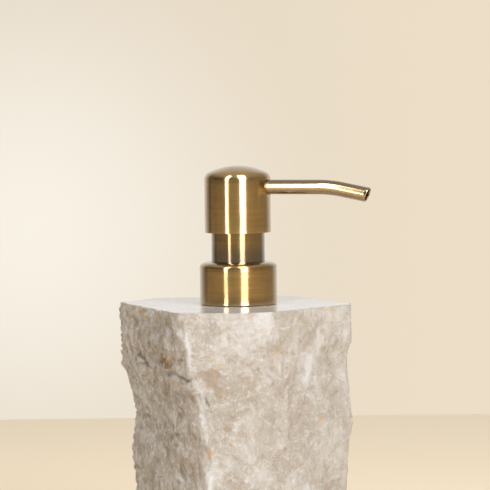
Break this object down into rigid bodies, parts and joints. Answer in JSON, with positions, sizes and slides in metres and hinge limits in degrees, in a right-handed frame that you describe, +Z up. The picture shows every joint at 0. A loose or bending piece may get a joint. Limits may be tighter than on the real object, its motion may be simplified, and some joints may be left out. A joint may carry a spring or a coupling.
{
  "type": "soap pump dispenser",
  "caption": "Rough-hewn stone soap dispenser with a polished top and a brushed antique-brass press pump with a swivelling spout.",
  "frame": {"origin": "middle of the foot pad's underside, on the pump's axis", "axes": "+Z up along the pump's axis, +X along the spout at rest"},
  "size_m": [0.1112, 0.0995, 0.1703],
  "materials": {
    "stone": "rough split beige stone, polished on top",
    "plug_stone": "sawn",
    "foam": "matt foam",
    "neck_plastic": "moulded",
    "brass": "brushed antique",
    "white_plastic": "moulded",
    "clear_plastic": "natural polyethylene",
    "gasket": "soft foam sheet",
    "steel": "bright drawn"
  },
  "bodies": {
    "bottle": {"stone_body": "stone", "base_plug": "plug_stone", "base_pad": "foam", "neck_insert": "neck_plastic"},
    "pump_body": {"gasket": "gasket", "pump_housing": "white_plastic", "chaplet": "white_plastic", "neck_sleeve": "brass", "dip_tube": "clear_plastic", "return_spring": "steel"},
    "collar": {"collar_shell": "brass", "screw_closure": "white_plastic"},
    "check_ball": {"check_ball": "steel"},
    "valve_stem": {"valve_stem": "white_plastic"},
    "piston": {"piston": "clear_plastic"},
    "head": {"upper_stem": "white_plastic", "actuator_core": "white_plastic", "head_shell": "brass", "spout_tube": "brass", "spout_liner": "clear_plastic"}
  },
  "joints": [
    {"name": "pump_lift", "type": "slide", "parent": "bottle", "child": "pump_body", "axis": [0, 0, 1], "range_m": [0, 0.00636]},
    {"name": "collar_unscrew", "type": "hinge", "parent": "pump_body", "child": "collar", "pos_m": [0, 0, 0.121], "axis": [0, 0, 1], "range_deg": [0, 540]},
    {"name": "inlet_ball_lift", "type": "slide", "parent": "pump_body", "child": "check_ball", "axis": [0, 0, 1], "range_m": [0, 0.0018]},
    {"name": "head_press", "type": "slide", "parent": "pump_body", "child": "valve_stem", "axis": [0, 0, -1], "range_m": [0, 0.011], "stiffness_N_per_m": 800, "springref_m": -0.008, "deforming": ["return_spring"]},
    {"name": "piston_slip", "type": "slide", "parent": "valve_stem", "child": "piston", "axis": [0, 0, 1], "range_m": [0, 0.0012]},
    {"name": "head_swivel", "type": "hinge", "parent": "valve_stem", "child": "head", "pos_m": [0, 0, 0.15], "axis": [0, 0, 1], "continuous": true}
  ],
  "couplings": [
    {"joint": "pump_lift", "follows": "collar_unscrew", "m_per_rad": 0.00067376}
  ]
}
